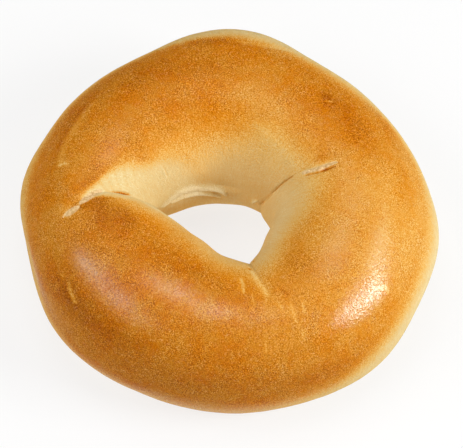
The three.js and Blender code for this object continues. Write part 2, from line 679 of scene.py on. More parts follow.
@dataclass(frozen=True)
class Patch:
    """A soft patch of the skin where something is more, or less, than around it.

    Attributes:
        around: Its middle, round the ring.
        over: Its middle, round the rope.
        length: Its reach round the ring in degrees.
        width: Its reach round the rope in degrees.
        change: How much is added in its middle.
    """

    around: float
    over: float
    length: float
    width: float
    change: float

    def at(self, around: np.ndarray, over: np.ndarray) -> np.ndarray:
        """Returns what it adds at each place."""
        along = signed_angle(around - self.around) / self.length
        across = signed_angle(over - self.over) / self.width
        return self.change * np.exp(-(along**2 + across**2))


# tone patches: most are real browning, some are painted shade, painted light or painted sheen, as
# marked below
BROWN_AND_PAINTED_LIGHT_PATCHES = (
    # back of the crown
    Patch(30, 74, 20, 12, 0.12),
    Patch(34, 47, 10, 6, 0.08),
    Patch(48, 76, 3.5, 4, 0.15),
    Patch(78, 105, 22, 12, -0.08),
    Patch(80, 99, 40, 12, -0.02),
    Patch(97, 57, 8, 5, 0.15),
    Patch(104, 84, 14, 8, 0.06),
    Patch(122, 74, 14, 12, 0.09),
    Patch(131, 119, 7, 5, 0.1),
    Patch(145, 122, 8, 6, 0.1),
    Patch(150, 58, 18, 7, 0.05),
    Patch(153, 115, 9, 10, 0.1),
    # paler tone under the sheen here: painted sheen
    Patch(157, 94, 10, 8, -0.04),
    Patch(157, 120, 5.5, 7, 0.36),
    # both sides of the left crease
    Patch(170, 102, 7, 7, 0.22),
    Patch(178, 91, 9, 8, 0.24),
    Patch(186, 66, 2.5, 5, -0.08),
    Patch(192, 102, 12, 20, 0.12),
    Patch(194, 86, 6, 8, 0.06),
    Patch(195, 104, 8, 6, 0.1),
    # front lobe
    Patch(205, 70, 12, 14, 0.05),
    Patch(212, 42, 5, 6, 0.05),
    Patch(215, 38, 12, 10, 0.12),
    # paler tone under the front lobe's outer sheen: painted sheen
    Patch(232, 56, 16, 8, -0.03),
    Patch(234, 40, 10, 8, 0.05),
    Patch(241, 122, 16, 10, -0.05),
    # these two paler patches under the sheen along the top of the front lobe are painted sheen
    Patch(242, 83, 22, 9, -0.06),
    Patch(256, 78, 20, 8, -0.05),
    Patch(262, 20, 30, 14, 0.05),
    # right of the front crease
    Patch(293, 48, 8, 6, 0.05),
    Patch(296, 62, 6, 6, 0.04),
    Patch(297, 22, 12, 10, 0.08),
    Patch(307, 107, 10, 8, 0.1),
    Patch(309, 94, 8, 8, 0.07),
    # paler band above the right highlight: painted sheen where no lamp reflects
    Patch(336, 67, 15, 7, -0.1),
    Patch(350, 50, 22, 12, -0.04),
    Patch(0, 53, 10, 8, 0.06),
    # both sides of the right crease
    Patch(9, 116, 8, 10, -0.05),
    Patch(15, 55, 10, 7, 0.04),
    Patch(19, 114, 8, 9, -0.06),
    Patch(24, 108, 3, 9, 0.11),
    # wall of the hole
    Patch(92, 120, 14, 8, -0.05),
    Patch(98, 170, 10, 6, -0.12),
    Patch(163, 158, 6, 8, -0.12),
    Patch(324, 150, 12, 12, -0.06),
    Patch(340, 140, 14, 12, -0.05),
    # ledge and its foot: the paler patches around the lips are painted light where the hole shades
    # them, and the dark band at the foot is painted shade
    Patch(110, 183, 16, 6, -0.12),
    Patch(112, 169, 26, 7, -0.13),
    Patch(112, 177, 26, 6, -0.1),
    Patch(112, 206, 36, 4, 0.7),
    Patch(128, 189, 26, 7, -0.24),
    Patch(135, 191, 10, 5, -0.12),
    Patch(150, 193, 12, 6, -0.2),
)
SHEENS = (
    # bright highlight on the right
    Patch(309, 54, 5, 5, 0.9),
    Patch(313, 49, 5, 4, 0.5),
    Patch(319, 56, 7.5, 8.5, 1.1),
    Patch(325, 50, 3.0, 4, 0.5),
    Patch(329, 60, 5, 5, 0.15),
    # paler band that runs on from it
    Patch(298, 66, 6, 5, 0.3),
    Patch(322, 84, 10, 8, 0.4),
    Patch(330, 94, 12, 8, 0.5),
    Patch(333, 64, 8, 7, 0.6),
    Patch(342, 69, 10, 6, 0.5),
    Patch(352, 6, 24, 12, 0.3),
    Patch(355, 92, 16, 12, 0.25),
    # outer sheen of the front lobe
    Patch(199, 14, 14, 12, 0.3),
    Patch(207, 64, 4.5, 6, 0.45),
    Patch(215, 66, 7.5, 8, 0.54),
    Patch(227, 63, 7, 8, 0.4),
    Patch(237, 58, 7, 6, 0.3),
    # sheen along the top of the front lobe
    Patch(233, 84, 7, 7, 0.34),
    Patch(245, 85, 9, 7, 0.78),
    Patch(262, 78, 10, 7, 0.65),
    Patch(280, 72, 10, 7, 0.4),
    # weak sheens at the back
    Patch(60, 100, 40, 12, 0.06),
    Patch(157, 94, 10, 8, 0.35),
)


@dataclass(frozen=True)
class BakeAndPaintedLight:
    """How the oven coloured the crust, with patches of painted shade, painted light and painted
    sheen among them.

    Attributes:
        crown: Tone of the brown crown, by angle around.
        side: Tone of the outer side below the crown.
        wall: Tone of the hole's wall.
        low: Angle over of the crown's outer edge.
        high: Angle over of the crown's inner edge.
        low_softness: Degrees over which the outer edge fades, by angle around.
        high_softness: Degrees over which the inner edge fades, by angle around.
        pocket: Edge of the pale pocket behind the left crease, as around for each over.
        strip: Edge of the pale strip on the left crease's shoulder.
        patches: Places that took more or less colour, and places of painted shade, painted light
            and painted sheen.
        pale: Tone of the pale pocket.
        pale_edge: Tone of its rim, along the crease.
        base: Tone of the underside.
        creamy_over: Angles over between which the pocket turns from its rim's tone to its own.
        creamy_inside: Degrees inside the strip's edge between which it does.
        pocket_blur: Softness of the pocket's edge where it starts, in degrees.
        pocket_opening: Angles over between which that edge grows softer.
        pocket_blur_gain: How much softer it grows, in degrees.
        strip_blur: Softness of the strip's edge where it starts, in degrees.
        strip_opening: Angles over between which that edge grows softer.
        strip_blur_gain: How much softer it grows, in degrees.
        pale_start: Angles over between which the pale dough starts.
        pale_end: Angles over between which it ends.
        outer_base: Angles over between which the outer side leaves the underside.
        inner_base: Angles over between which the wall of the hole reaches it.
    """

    crown: TurnCurve = TurnCurve(
        (
            (0, 0.58), (45, 0.7), (90, 0.73), (135, 0.74),
            (180, 0.7), (225, 0.77), (270, 0.74), (315, 0.65),
        )
    )
    side: TurnCurve = TurnCurve(
        ((0, 0.17), (60, 0.17), (120, 0.32), (180, 0.42), (225, 0.44), (270, 0.5), (315, 0.22))
    )
    wall: TurnCurve = TurnCurve(
        (
            (0, 0.2), (60, 0.28), (95, 0.24), (140, 0.34),
            (190, 0.32), (240, 0.36), (285, 0.3), (320, 0.22),
        )
    )
    low: TurnCurve = TurnCurve(
        (
            (0, 27), (20, 33), (45, 50), (62, 54), (90, 54), (120, 52), (150, 39),
            (180, 24), (225, -11), (270, -11), (298, -5), (315, 13), (330, 23),
        )
    )
    high: TurnCurve = TurnCurve(
        (
            (0, 124), (60, 123), (90, 135), (120, 134), (150, 118), (175, 100),
            (200, 126), (240, 124), (285, 110), (310, 125), (335, 130),
        )
    )
    low_softness: TurnCurve = TurnCurve(
        ((0, 13), (60, 12), (120, 7), (180, 13), (240, 13), (300, 16))
    )
    high_softness: TurnCurve = TurnCurve(
        (
            (0, 22), (45, 34), (90, 25), (120, 29), (160, 21),
            (200, 28), (250, 18), (285, 23), (320, 14),
        )
    )
    pocket: TurnCurve = TurnCurve(
        (
            (70, 184), (80, 181), (90, 175), (98, 169.5), (107, 164.5), (117, 161),
            (125, 156.5), (133, 147), (145, 136), (180, 124), (250, 130),
        )
    )
    strip: TurnCurve = TurnCurve(
        (
            (60, 188), (75, 183.5), (90, 182.3), (110, 182.3), (120, 183),
            (130, 188), (142, 196), (180, 215), (250, 220),
        )
    )
    patches: tuple[Patch, ...] = BROWN_AND_PAINTED_LIGHT_PATCHES
    pale: float = 0.14
    pale_edge: float = 0.24
    base: float = 0.2
    creamy_over: Rise = Rise(84.0, 110.0)
    creamy_inside: Rise = Rise(-1.0, 6.0)
    pocket_blur: float = 3.0
    pocket_opening: Rise = Rise(95.0, 145.0)
    pocket_blur_gain: float = 6.5
    strip_blur: float = 1.6
    strip_opening: Rise = Rise(95.0, 135.0)
    strip_blur_gain: float = 3.5
    pale_start: Rise = Rise(74.0, 84.0)
    pale_end: Rise = Rise(178.0, 200.0)
    outer_base: Rise = Rise(-62.0, -44.0)
    inner_base: Rise = Rise(226.0, 244.0)

    def tone(self, around: np.ndarray, over: np.ndarray) -> np.ndarray:
        """Works out how far each place is baked.

        Args:
            around: Angles around in degrees.
            over: Angles over in degrees.

        Returns:
            Tones from 0, pale dough, to 1, the darkest crust.
        """
        turn = rope_angle(over)
        low = self.low.at(around)
        high = self.high.at(around)
        low_soft = self.low_softness.at(around)
        high_soft = self.high_softness.at(around)
        tone = self.crown.at(around)
        for patch in self.patches:
            tone = tone + patch.at(around, over)
        below = 1.0 - smoothstep((turn - low) / low_soft, -1.0, 1.0)
        above = smoothstep((turn - high) / high_soft, -1.0, 1.0)
        tone = blend(tone, self.side.at(around), below)
        tone = blend(tone, self.wall.at(around), above)
        pale = self.pale_share(around, turn)
        creamy = self.creamy_over.at(turn) * self.creamy_inside.at(self.strip.at(turn) - around)
        tone = blend(tone, blend(self.pale_edge, self.pale, creamy), pale)
        under = 1.0 - self.outer_base.at(turn) + self.inner_base.at(turn)
        return blend(tone, self.base, np.clip(under, 0.0, 1.0))

    def pale_share(self, around: np.ndarray, over: np.ndarray) -> np.ndarray:
        """Finds the pale dough on both sides of the left crease.

        Args:
            around: Angles around in degrees.
            over: Angles over in degrees, from -90 to 270.

        Returns:
            Shares of pale dough, from 0 to 1.
        """
        pocket_blur = self.pocket_blur + self.pocket_blur_gain * self.pocket_opening.at(over)
        strip_blur = self.strip_blur + self.strip_blur_gain * self.strip_opening.at(over)
        behind = signed_angle(around - self.pocket.at(over)) / pocket_blur
        shoulder = signed_angle(self.strip.at(over) - around) / strip_blur
        along = self.pale_start.at(over) * (1.0 - self.pale_end.at(over))
        return smoothstep(behind, -1.0, 1.0) * smoothstep(shoulder, -1.0, 1.0) * along


# Nodes


class Signal:
    """A number that changes over a surface. Arithmetic on it adds Math nodes."""

    def __init__(self, graph: "Graph", socket: Socket) -> None:
        """Keeps the node socket that gives the number.

        Args:
            graph: The graph that holds the socket.
            socket: The output socket.
        """
        self.graph = graph
        self.socket = socket

    def __add__(self, other: "Signal | float") -> "Signal":
        """Returns this plus other."""
        return self.graph.math("ADD", self, other)

    def __radd__(self, other: float) -> "Signal":
        """Returns other plus this."""
        return self.graph.math("ADD", other, self)

    def __sub__(self, other: "Signal | float") -> "Signal":
        """Returns this minus other."""
        return self.graph.math("SUBTRACT", self, other)

    def __rsub__(self, other: float) -> "Signal":
        """Returns other minus this."""
        return self.graph.math("SUBTRACT", other, self)

    def __mul__(self, other: "Signal | float") -> "Signal":
        """Returns this times other."""
        return self.graph.math("MULTIPLY", self, other)

    def __rmul__(self, other: float) -> "Signal":
        """Returns other times this."""
        return self.graph.math("MULTIPLY", other, self)


class Graph:
    """A node tree and the few ways in which this file adds to it."""

    def __init__(self, tree: bpy.types.NodeTree) -> None:
        """Starts on an emptied tree.

        Args:
            tree: The tree to fill.
        """
        self.tree = tree
        tree.nodes.clear()

    def node(
        self,
        kind: str,
        settings: dict[str, Any] | None = None,
        sockets: dict[str | int, Any] | None = None,
    ) -> bpy.types.Node:
        """Adds a node.

        Args:
            kind: Blender's name of the node's type.
            settings: Its settings, set first. A ramp's "stops" are pairs of place and colour.
            sockets: Values or links for its inputs, by name or number.

        Returns:
            The node.
        """
        node = self.tree.nodes.new(kind)
        for name, value in (settings or {}).items():
            if name == "stops":
                self._set_stops(node.color_ramp, value)
            else:
                setattr(node, name, value)
        for name, value in (sockets or {}).items():
            self.feed(node.inputs[name], value)
        return node

    def feed(self, socket: Socket, value: Any) -> None:
        """Links value to an input where it is a socket, and sets the input where it is plain.

        Args:
            socket: The input.
            value: A signal, an output socket, or a plain value.
        """
        if isinstance(value, Signal):
            value = value.socket
        if isinstance(value, Socket):
            self.tree.links.new(value, socket)
        else:
            socket.default_value = value

    def _set_stops(self, ramp: bpy.types.ColorRamp, stops: list[tuple[float, Colour]]) -> None:
        """Gives a ramp its stops.

        Args:
            ramp: The ramp, which starts with two stops.
            stops: Pairs of place and colour.
        """
        while len(ramp.elements) < len(stops):
            ramp.elements.new(1.0)
        for element, (place, shade) in zip(ramp.elements, stops):
            element.position = place
            element.color = shade

    def signal(self, node: bpy.types.Node, output: str | int = 0) -> Signal:
        """Returns one of a node's outputs as a signal."""
        return Signal(self, node.outputs[output])

    def math(self, operation: str, *values: Signal | float) -> Signal:
        """Adds a Math node.

        Args:
            operation: Its operation.
            values: Its inputs in order.

        Returns:
            Its result.
        """
        node = self.node("ShaderNodeMath", {"operation": operation}, dict(enumerate(values)))
        return self.signal(node)

    def smooth(self, value: Signal, rise: Rise) -> Signal:
        """Adds a smooth rise.

        Args:
            value: The signal to map.
            rise: Where the rise starts and ends.

        Returns:
            A signal from 0 to 1.
        """
        settings = {"interpolation_type": "SMOOTHSTEP"}
        node = self.node("ShaderNodeMapRange", settings, {0: value, 1: rise.low, 2: rise.high})
        return self.signal(node)

    def noise(self, place: Socket, noise: Noise, seed: Any = 0.0) -> Signal:
        """Adds cloudy noise.

        Args:
            place: The coordinates to read.
            noise: Its size and character.
            seed: Picks one pattern among many.

        Returns:
            A signal that is 0 on average and stays within about 0.5 of it.
        """
        sockets = {
            "Vector": place,
            "W": seed,
            "Scale": 1.0 / noise.size,
            "Detail": noise.detail,
            "Roughness": noise.roughness,
            "Distortion": noise.distortion,
        }
        node = self.node("ShaderNodeTexNoise", {"noise_dimensions": "4D"}, sockets)
        return self.signal(node) - 0.5

    def cells(self, place: Socket, size: float) -> Signal:
        """Adds a pattern of scattered cells.

        Args:
            place: The coordinates to read.
            size: Size of a cell in metres.

        Returns:
            The distance from the nearest cell's middle, as a share of a cell's size.
        """
        sockets = {"Vector": place, "Scale": 1.0 / size, "Randomness": 1.0}
        return self.signal(self.node("ShaderNodeTexVoronoi", None, sockets), "Distance")

    def mix(
        self, first: Any, second: Any, share: Signal | float, blend_type: str = "MIX"
    ) -> Socket:
        """Adds a mix of two colours.

        Args:
            first: The colour where share is 0.
            second: The colour where share is 1.
            share: How far it goes to the second.
            blend_type: How the second goes over the first.

        Returns:
            The mixed colour.
        """
        settings = {"data_type": "RGBA", "blend_type": blend_type, "clamp_factor": True}
        node = self.node("ShaderNodeMix", settings, {0: share, 6: first, 7: second})
        return node.outputs[2]

    def attribute(self, name: str) -> bpy.types.Node:
        """Adds a shader node that reads one of the mesh's attributes."""
        return self.node("ShaderNodeAttribute", {"attribute_name": name})

    def number(self, name: str) -> Signal:
        """Returns one of the mesh's number attributes, in a shader."""
        return self.signal(self.attribute(name), "Fac")

    def bump(self, height: Signal) -> Socket:
        """Adds a bump of these heights in metres and returns its normal."""
        sockets = {"Strength": 1.0, "Distance": 1.0, "Height": height}
        return self.node("ShaderNodeBump", None, sockets).outputs[0]

    def principled(self, sockets: dict[str | int, Any]) -> Socket:
        """Adds a Principled shader with these inputs and returns its output."""
        return self.node("ShaderNodeBsdfPrincipled", None, sockets).outputs[0]

    def random_vector(self, low: float, high: float, seed: Any) -> Socket:
        """Adds a random vector for each instance.

        Args:
            low: The least that each of its numbers can be.
            high: The most that each can be.
            seed: Picks the numbers.

        Returns:
            The vector.
        """
        sockets = {0: (low, low, low), 1: (high, high, high), "Seed": seed}
        node = self.node("FunctionNodeRandomValue", {"data_type": "FLOAT_VECTOR"}, sockets)
        return node.outputs[0]


def colour(red: float, green: float, blue: float) -> Colour:
    """Returns a linear colour with full alpha."""
    return (red, green, blue, 1.0)


def start_material(name: str) -> tuple[bpy.types.Material, Graph]:
    """Makes a material of that name and returns it with its empty graph."""
    material = bpy.data.materials.new(name)
    material.use_nodes = True
    return material, Graph(material.node_tree)


def add_object(name: str, data: bpy.types.ID) -> bpy.types.Object:
    """Puts a mesh, a light or a camera in the scene.

    Args:
        name: Name of its object.
        data: The mesh, light or camera.

    Returns:
        The object.
    """
    added = bpy.data.objects.new(name, data)
    bpy.context.scene.collection.objects.link(added)
    return added


# Finishes


@dataclass(frozen=True)
class CrustFinish:
    """The baked skin, from pale dough to brown crust, with its painted glints, and the crumb that
    shows in its tears.

    Attributes:
        stops: Colours of the tone ramp, from pale dough to the darkest crust.
        blush: Tint of the places that reddened.
        painted_glint: Colour of the fine pale specks that stand in for glints of light on the
            grain.
        crumb_light: Lightest colour of the torn crumb.
        crumb_dark: Colour of the crumb's small hollows.
        painted_glint_share: Strength of the painted glints.
        mottle: Change of tone in large soft clouds.
        speckle: Change of tone in fine specks.
        pale_speckle: Strength of the specks on pale dough, as a share of that on brown crust.
        speckle_change: How far their strength changes from place to place.
        streak: Change of tone in streaks along the stretched skin.
        pale_streak: How strong the streaks are on pale dough.
        turning_streak: How much the half-brown dough adds to them.
        brown_streak: How much the brown crust takes from them.
        roughness: Roughness of the dull skin.
        roughness_change: How far the roughness changes from place to place.
        film_roughness: Roughness of the shiny film.
        film_gloss: Strength of the film's reflection.
        film_tint: Tint of the film's reflection.
        film_change: How far the film's share changes from place to place.
        film_wrinkle: How far the wrinkles show in the film.
        grain_height: Height of the finest grain in metres.
        pale_grain: How many times higher the grain is on pale dough than on brown crust.
        streak_grain: Height of the streaks, as a share of the grain's.
        crackle_height: Height of the film's fine cracks in metres.
        wrinkle_height: Height of the skin's fine wrinkles in metres.
        tear_fray: How far the grain frays the edges of the tears.
        grain: The finest grain.
        streaks: The streaks.
        mottling: The large soft clouds of tone.
        speckle_clouds: Where the specks are stronger and weaker.
        blush_clouds: The large and the small clouds of the reddened places.
        painted_glints: The pattern of the painted glints.
        wrinkles: The fine wrinkles.
        crackle: The film's fine cracks.
        film_wear: Where the film is rougher.
        film_gaps: Where the film is thinner.
        crumb_cell: Size of the crumb's hollows in metres.
        browned: Tones between which the skin turns from pale to brown.
        reddened: Tones between which it can redden.
        blush_edge: Levels of the clouds between which it does.
        torn: Levels between which a tear opens.
        painted_glint_edge: Levels between which a painted glint begins.
        crumb_edge: Distances between which a hollow darkens.
    """

    stops: tuple[tuple[Tone, Colour], ...] = (
        (Tone.DOUGH, colour(0.93, 0.81, 0.53)),
        (Tone.CREAM, colour(0.82, 0.665, 0.335)),
        (Tone.STRAW, colour(0.79, 0.585, 0.265)),
        (Tone.HONEY, colour(0.78, 0.475, 0.135)),
        (Tone.GOLD, colour(0.73, 0.345, 0.055)),
        (Tone.AMBER, colour(0.62, 0.235, 0.016)),
        (Tone.BROWN, colour(0.46, 0.14, 0.004)),
        (Tone.UMBER, colour(0.24, 0.055, 0.003)),
    )
    blush: Colour = colour(1.0, 0.79, 0.14)
    # painted glints: colour of the pale specks that stand in for glints of light on the grain
    painted_glint: Colour = colour(0.86, 0.64, 0.4)
    crumb_light: Colour = colour(0.84, 0.6, 0.31)
    crumb_dark: Colour = colour(0.66, 0.4, 0.16)
    painted_glint_share: float = 0.2
    mottle: float = 0.1
    speckle: float = 1.1
    pale_speckle: float = 0.42
    speckle_change: float = 2.0
    streak: float = 0.26
    pale_streak: float = 0.8
    turning_streak: float = 2.0
    brown_streak: float = 0.4
    roughness: float = 0.6
    roughness_change: float = 0.2
    film_roughness: float = 0.25
    film_gloss: float = 1.12
    film_tint: Colour = colour(0.86, 1.0, 0.94)
    film_change: float = 1.2
    film_wrinkle: float = 0.4
    grain_height: float = 0.00012
    pale_grain: float = 2.4
    streak_grain: float = 0.3
    crackle_height: float = 0.00017
    wrinkle_height: float = 0.00026
    tear_fray: float = 0.5
    grain: Noise = Noise(0.00028, 1.0, 0.6)
    streaks: Noise = Noise(0.00045, 1.0, 0.6)
    mottling: Noise = Noise(0.014, 2.0, 0.5)
    speckle_clouds: Noise = Noise(0.006, 2.0, 0.5)
    blush_clouds: tuple[Noise, Noise] = (Noise(0.014, 3.0, 0.6), Noise(0.0032, 3.0, 0.7))
    painted_glints: Noise = Noise(0.0011, 3.0, 0.7)
    wrinkles: Noise = Noise(0.0012, 1.0, 0.5, 1.6)
    crackle: Noise = Noise(0.0009, 2.0, 0.6, 1.0)
    film_wear: Noise = Noise(0.003, 2.0)
    film_gaps: Noise = Noise(0.004, 3.0)
    crumb_cell: float = 0.0007
    browned: Rise = Rise(0.15, 0.6)
    reddened: Rise = Rise(0.4, 0.75)
    blush_edge: Rise = Rise(-0.18, 0.24)
    torn: Rise = Rise(0.35, 0.6)
    painted_glint_edge: Rise = Rise(0.02, 0.45)
    crumb_edge: Rise = Rise(0.35, 0.75)

    def material(self) -> bpy.types.Material:
        """Builds the material.

        Returns:
            The crust's material.
        """
        material, graph = start_material("baked_crust_and_painted_light")
        place = graph.node("ShaderNodeTexCoord").outputs["Object"]
        # the tone attribute holds the bake with the painted shade, painted highlights and painted
        # sheen of the strokes and patches
        bake_and_painted_light = graph.number("bake_and_painted_light")
        browned = graph.smooth(bake_and_painted_light, self.browned)
        grain = graph.noise(place, self.grain)
        streaks = graph.noise(graph.attribute("stretch").outputs["Vector"], self.streaks)
        torn = graph.smooth(graph.number("tear") + grain * self.tear_fray, self.torn)
        skin = self._skin(graph, place, bake_and_painted_light, browned, grain, streaks)
        skin = graph.mix(skin, self._crumb(graph, place), torn)

        wrinkles = graph.noise(place, self.wrinkles) * self.wrinkle_height
        crackle = graph.noise(place, self.crackle) * self.crackle_height
        coarse = browned * (1.0 - self.pale_grain) + self.pale_grain
        rough = wrinkles + (grain * coarse + streaks * self.streak_grain) * self.grain_height
        dull = graph.principled(
            {
                "Base Color": skin,
                "Roughness": grain * self.roughness_change + self.roughness,
                "Specular IOR Level": 0.0,
                "Normal": graph.bump(rough),
            }
        )
        wear = graph.noise(place, self.film_wear) * self.roughness_change
        filmed = graph.principled(
            {
                "Base Color": skin,
                "Roughness": wear + self.film_roughness,
                "Specular IOR Level": self.film_gloss,
                "Specular Tint": self.film_tint,
                "Normal": graph.bump(wrinkles * self.film_wrinkle + crackle),
            }
        )
        thickness = graph.noise(place, self.film_gaps) * self.film_change + 1.0
        film = graph.number("shine") * (1.0 - torn) * thickness
        both = graph.node("ShaderNodeMixShader", None, {0: film, 1: dull, 2: filmed})
        graph.node("ShaderNodeOutputMaterial", None, {0: both.outputs[0]})
        return material

    def _skin(
        self,
        graph: Graph,
        place: Socket,
        bake_and_painted_light: Signal,
        browned: Signal,
        grain: Signal,
        streaks: Signal,
    ) -> Socket:
        """Adds the colour of the untorn skin, painted glints included.

        Args:
            graph: The material's graph.
            place: The coordinates of each place.
            bake_and_painted_light: Tone of each place, with painted shade, painted highlights and
                painted sheen mixed in.
            browned: How far each place is brown.
            grain: The finest grain.
            streaks: The streaks of the stretched skin.

        Returns:
            The colour.
        """
        level = bake_and_painted_light + graph.noise(place, self.mottling) * self.mottle
        busy = graph.noise(place, self.speckle_clouds) * self.speckle_change + 1.0
        speckle = browned * (1.0 - self.pale_speckle) + self.pale_speckle
        level = level + grain * busy * speckle * self.speckle
        turning = browned * (1.0 - browned) * self.turning_streak
        drawn = turning - browned * self.brown_streak + self.pale_streak
        level = level + streaks * drawn * self.streak
        stops = [(tone.value, stop) for tone, stop in self.stops]
        skin = graph.node("ShaderNodeValToRGB", {"stops": stops}, {0: level}).outputs[0]
        large, small = (graph.noise(place, clouds) for clouds in self.blush_clouds)
        blush = graph.smooth(large + small, self.blush_edge) * graph.smooth(bake_and_painted_light, self.reddened)
        skin = graph.mix(skin, self.blush, blush, "MULTIPLY")
        # painted glints: pale specks mixed into the brown crust's colour, standing in for glints of
        # light on its fine grain
        painted_glints = graph.smooth(graph.noise(place, self.painted_glints) - grain, self.painted_glint_edge)
        return graph.mix(skin, self.painted_glint, painted_glints * browned * self.painted_glint_share)

    def _crumb(self, graph: Graph, place: Socket) -> Socket:
        """Adds the colour of the torn crumb.

        Args:
            graph: The material's graph.
            place: The coordinates of each place.

        Returns:
            The colour.
        """
        hollows = graph.smooth(graph.cells(place, self.crumb_cell), self.crumb_edge)
        return graph.mix(self.crumb_light, self.crumb_dark, hollows)


@dataclass(frozen=True)
class CrumbFinish:
    """The loose crumbs in the tears.

    Attributes:
        light: Their lightest colour.
        dark: Their darkest colour.
        roughness: Their roughness.
        roughness_change: How far it changes from place to place.
        gloss: Strength of their reflection.
        grain_height: Height of their grain in metres.
        grain_share: How far the grain changes their colour.
        clouds: Their change of colour.
        grain: Their grain.
        darkening: Levels between which they darken.
    """

    light: Colour = colour(0.84, 0.6, 0.31)
    dark: Colour = colour(0.66, 0.42, 0.17)
    roughness: float = 0.85
    roughness_change: float = 0.2
    gloss: float = 0.1
    grain_height: float = 0.00005
    grain_share: float = 0.5
    clouds: Noise = Noise(0.0012, 2.0)
    grain: Noise = Noise(0.00025, 2.0)
    darkening: Rise = Rise(-0.2, 0.3)

    def material(self) -> bpy.types.Material:
        """Builds the material.

        Returns:
            The crumbs' material.
        """
        material, graph = start_material("torn_crumb")
        place = graph.node("ShaderNodeTexCoord").outputs["Object"]
        grain = graph.noise(place, self.grain)
        level = graph.noise(place, self.clouds) + grain * self.grain_share
        shader = graph.principled(
            {
                "Base Color": graph.mix(self.light, self.dark, graph.smooth(level, self.darkening)),
                "Roughness": grain * self.roughness_change + self.roughness,
                "Specular IOR Level": self.gloss,
                "Normal": graph.bump(grain * self.grain_height),
            }
        )
        graph.node("ShaderNodeOutputMaterial", None, {0: shader})
        return material


@dataclass(frozen=True)
class FloorFinish:
    """The plain pale floor, lit a little from within so that shadows on it stay faint.

    Attributes:
        base: Its colour.
        glow: Colour of its own light.
        strength: Strength of its own light.
    """

    base: Colour = colour(0.2, 0.2, 0.2)
    glow: Colour = colour(1.0, 1.0, 1.0)
    strength: float = 0.76

    def material(self) -> bpy.types.Material:
        """Builds the material.

        Returns:
            The floor's material.
        """
        material, graph = start_material("pale_floor")
        shader = graph.principled(
            {
                "Base Color": self.base,
                "Roughness": 1.0,
                "Specular IOR Level": 0.0,
                "Emission Color": self.glow,
                "Emission Strength": self.strength,
            }
        )
        graph.node("ShaderNodeOutputMaterial", None, {0: shader})
        return material


# Pieces


def plain_copy(source: bpy.types.Object, name: str) -> bpy.types.Object:
    """Turns an object and its modifiers into a new object with a plain mesh.

    Args:
        source: The object, which is removed.
        name: Name of the new object and its mesh.

    Returns:
        The new object, with no modifiers.
    """
    depsgraph = bpy.context.evaluated_depsgraph_get()
    mesh = bpy.data.meshes.new_from_object(source.evaluated_get(depsgraph), depsgraph=depsgraph)
    bpy.data.objects.remove(source)
    mesh.name = name
    return add_object(name, mesh)


class NodeModifier:
    """A Geometry Nodes tree with named inputs, used as a modifier."""

    def __init__(self, name: str) -> None:
        """Starts the tree with a geometry in and a geometry out.

        Args:
            name: Name of the tree.
        """
        self.tree = bpy.data.node_groups.new(name, "GeometryNodeTree")
        self.graph = Graph(self.tree)
        self.values: dict[str, Any] = {}
        for way in ("INPUT", "OUTPUT"):
            kind = "NodeSocketGeometry"
            self.tree.interface.new_socket("Geometry", in_out=way, socket_type=kind)
        self.inputs: bpy.types.Node | None = None

    def add_input(self, name: str, kind: str, value: Any) -> None:
        """Adds a named input.

        Args:
            name: Its name.
            kind: Its kind: Float, Int or Material.
            value: Its value.
        """
        self.tree.interface.new_socket(name, in_out="INPUT", socket_type=f"NodeSocket{kind}")
        self.values[name] = value

    def given(self, name: str) -> Socket:
        """Returns the tree's own input of that name."""
        if self.inputs is None:
            self.inputs = self.graph.node("NodeGroupInput")
        return self.inputs.outputs[name]

    def amount(self, name: str) -> Signal:
        """Returns the tree's own input of that name as a signal."""
        return Signal(self.graph, self.given(name))

    def mesh_number(self, name: str) -> Signal:
        """Returns one of the mesh's number attributes."""
        node = self.graph.node("GeometryNodeInputNamedAttribute", {"data_type": "FLOAT"}, {0: name})
        return self.graph.signal(node)

    def close(self, geometry: Socket) -> None:
        """Ends the tree: instances are made real and the material is set.

        Args:
            geometry: The geometry that the tree gives.
        """
        real = self.graph.node("GeometryNodeRealizeInstances", None, {0: geometry})
        sockets = {"Geometry": real.outputs[0], "Material": self.given("Material")}
        dressed = self.graph.node("GeometryNodeSetMaterial", None, sockets)
        self.graph.node("NodeGroupOutput", None, {0: dressed.outputs[0]})

    def put_on(self, piece: bpy.types.Object) -> None:
        """Adds the modifier to a piece and sets its inputs by their identifiers.

        Args:
            piece: The piece.
        """
        modifier = piece.modifiers.new(self.tree.name, "NODES")
        modifier.node_group = self.tree
        for item in self.tree.interface.items_tree:
            if item.in_out == "INPUT" and item.name in self.values:
                modifier[item.identifier] = self.values[item.name]


